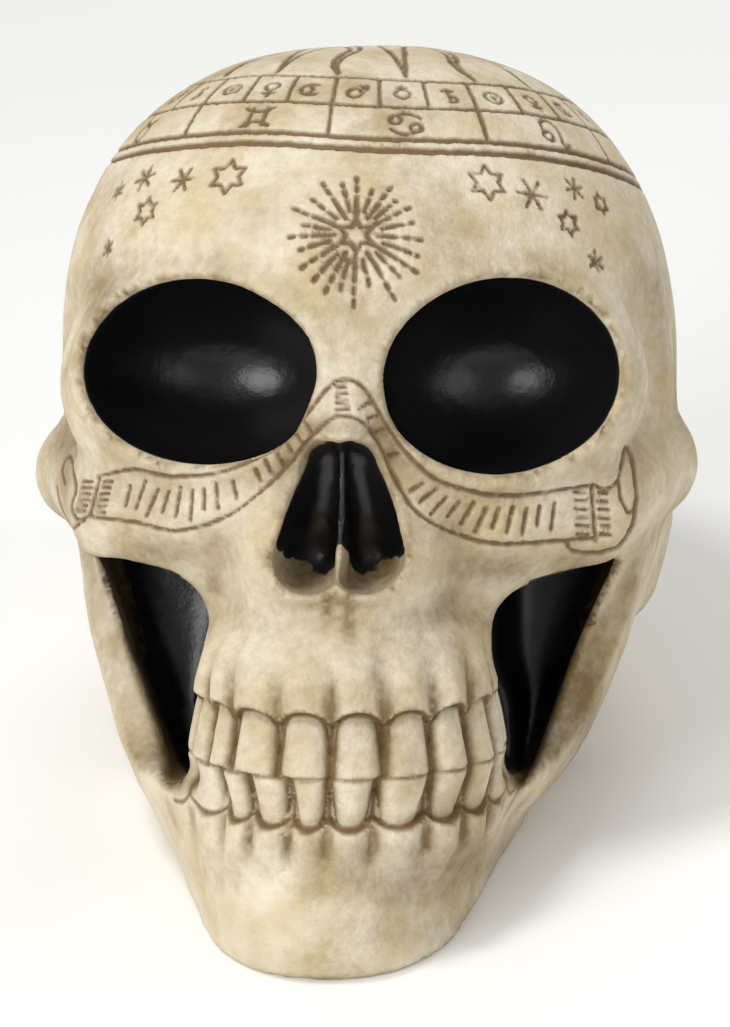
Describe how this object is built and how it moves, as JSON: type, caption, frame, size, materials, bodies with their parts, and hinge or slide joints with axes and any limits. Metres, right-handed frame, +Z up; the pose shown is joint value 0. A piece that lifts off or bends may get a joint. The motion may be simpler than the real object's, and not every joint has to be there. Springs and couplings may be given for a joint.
{
  "type": "skull ornament",
  "caption": "Cast skull ornament with clenched teeth, deep black sockets and an engraved crown and brow, standing on a flat cut under the jaw and the back of the head.",
  "frame": {"origin": "centre of the bounding box in plan, on the surface that the skull stands on", "axes": "+Z up; the face looks towards -Y and a little up; +X to the right of someone facing it"},
  "size_m": [0.1192, 0.1774, 0.133],
  "materials": {
    "bone_cast": "bone-coloured cast resin with a brown wash in the recesses; sockets, nose and the spaces behind the teeth painted satin black"
  },
  "bodies": {
    "root": {"skull": "bone_cast"}
  },
  "joints": []
}
